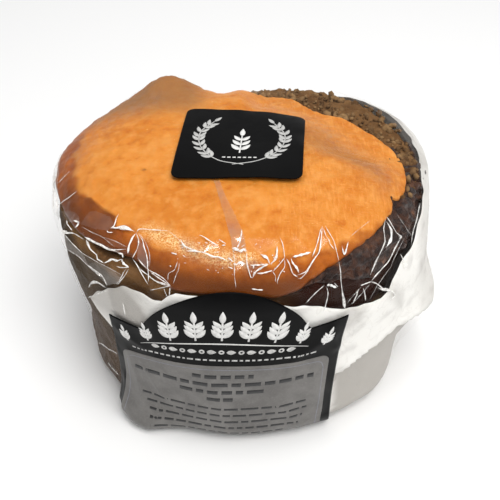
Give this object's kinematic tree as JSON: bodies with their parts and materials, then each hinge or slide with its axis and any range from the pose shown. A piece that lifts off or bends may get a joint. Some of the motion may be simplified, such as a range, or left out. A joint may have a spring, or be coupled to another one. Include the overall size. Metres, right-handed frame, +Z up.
{
  "type": "pork pie",
  "caption": "Whole pork pie topped with a thick lobed layer of orange cheese over chutney, sealed in clear crinkled film over a white paper wrap, with two black labels.",
  "frame": {"origin": "on the surface that the pie stands on, under the middle of the pie", "axes": "+Z up, -Y towards the arched front label, +X to the right of it"},
  "size_m": [0.1138, 0.1088, 0.0709],
  "materials": {
    "film": "clear, thin and crinkled",
    "label": "black with a low satin sheen",
    "print": "pale matt print",
    "cheese": "waxy orange cheese",
    "crust": "dark baked pastry",
    "chutney": "dark glossy chutney",
    "wrap_paper": "white greaseproof paper"
  },
  "bodies": {
    "root": {"film_bag": "film", "top_label": "label", "front_label": "label"}
  },
  "joints": []
}
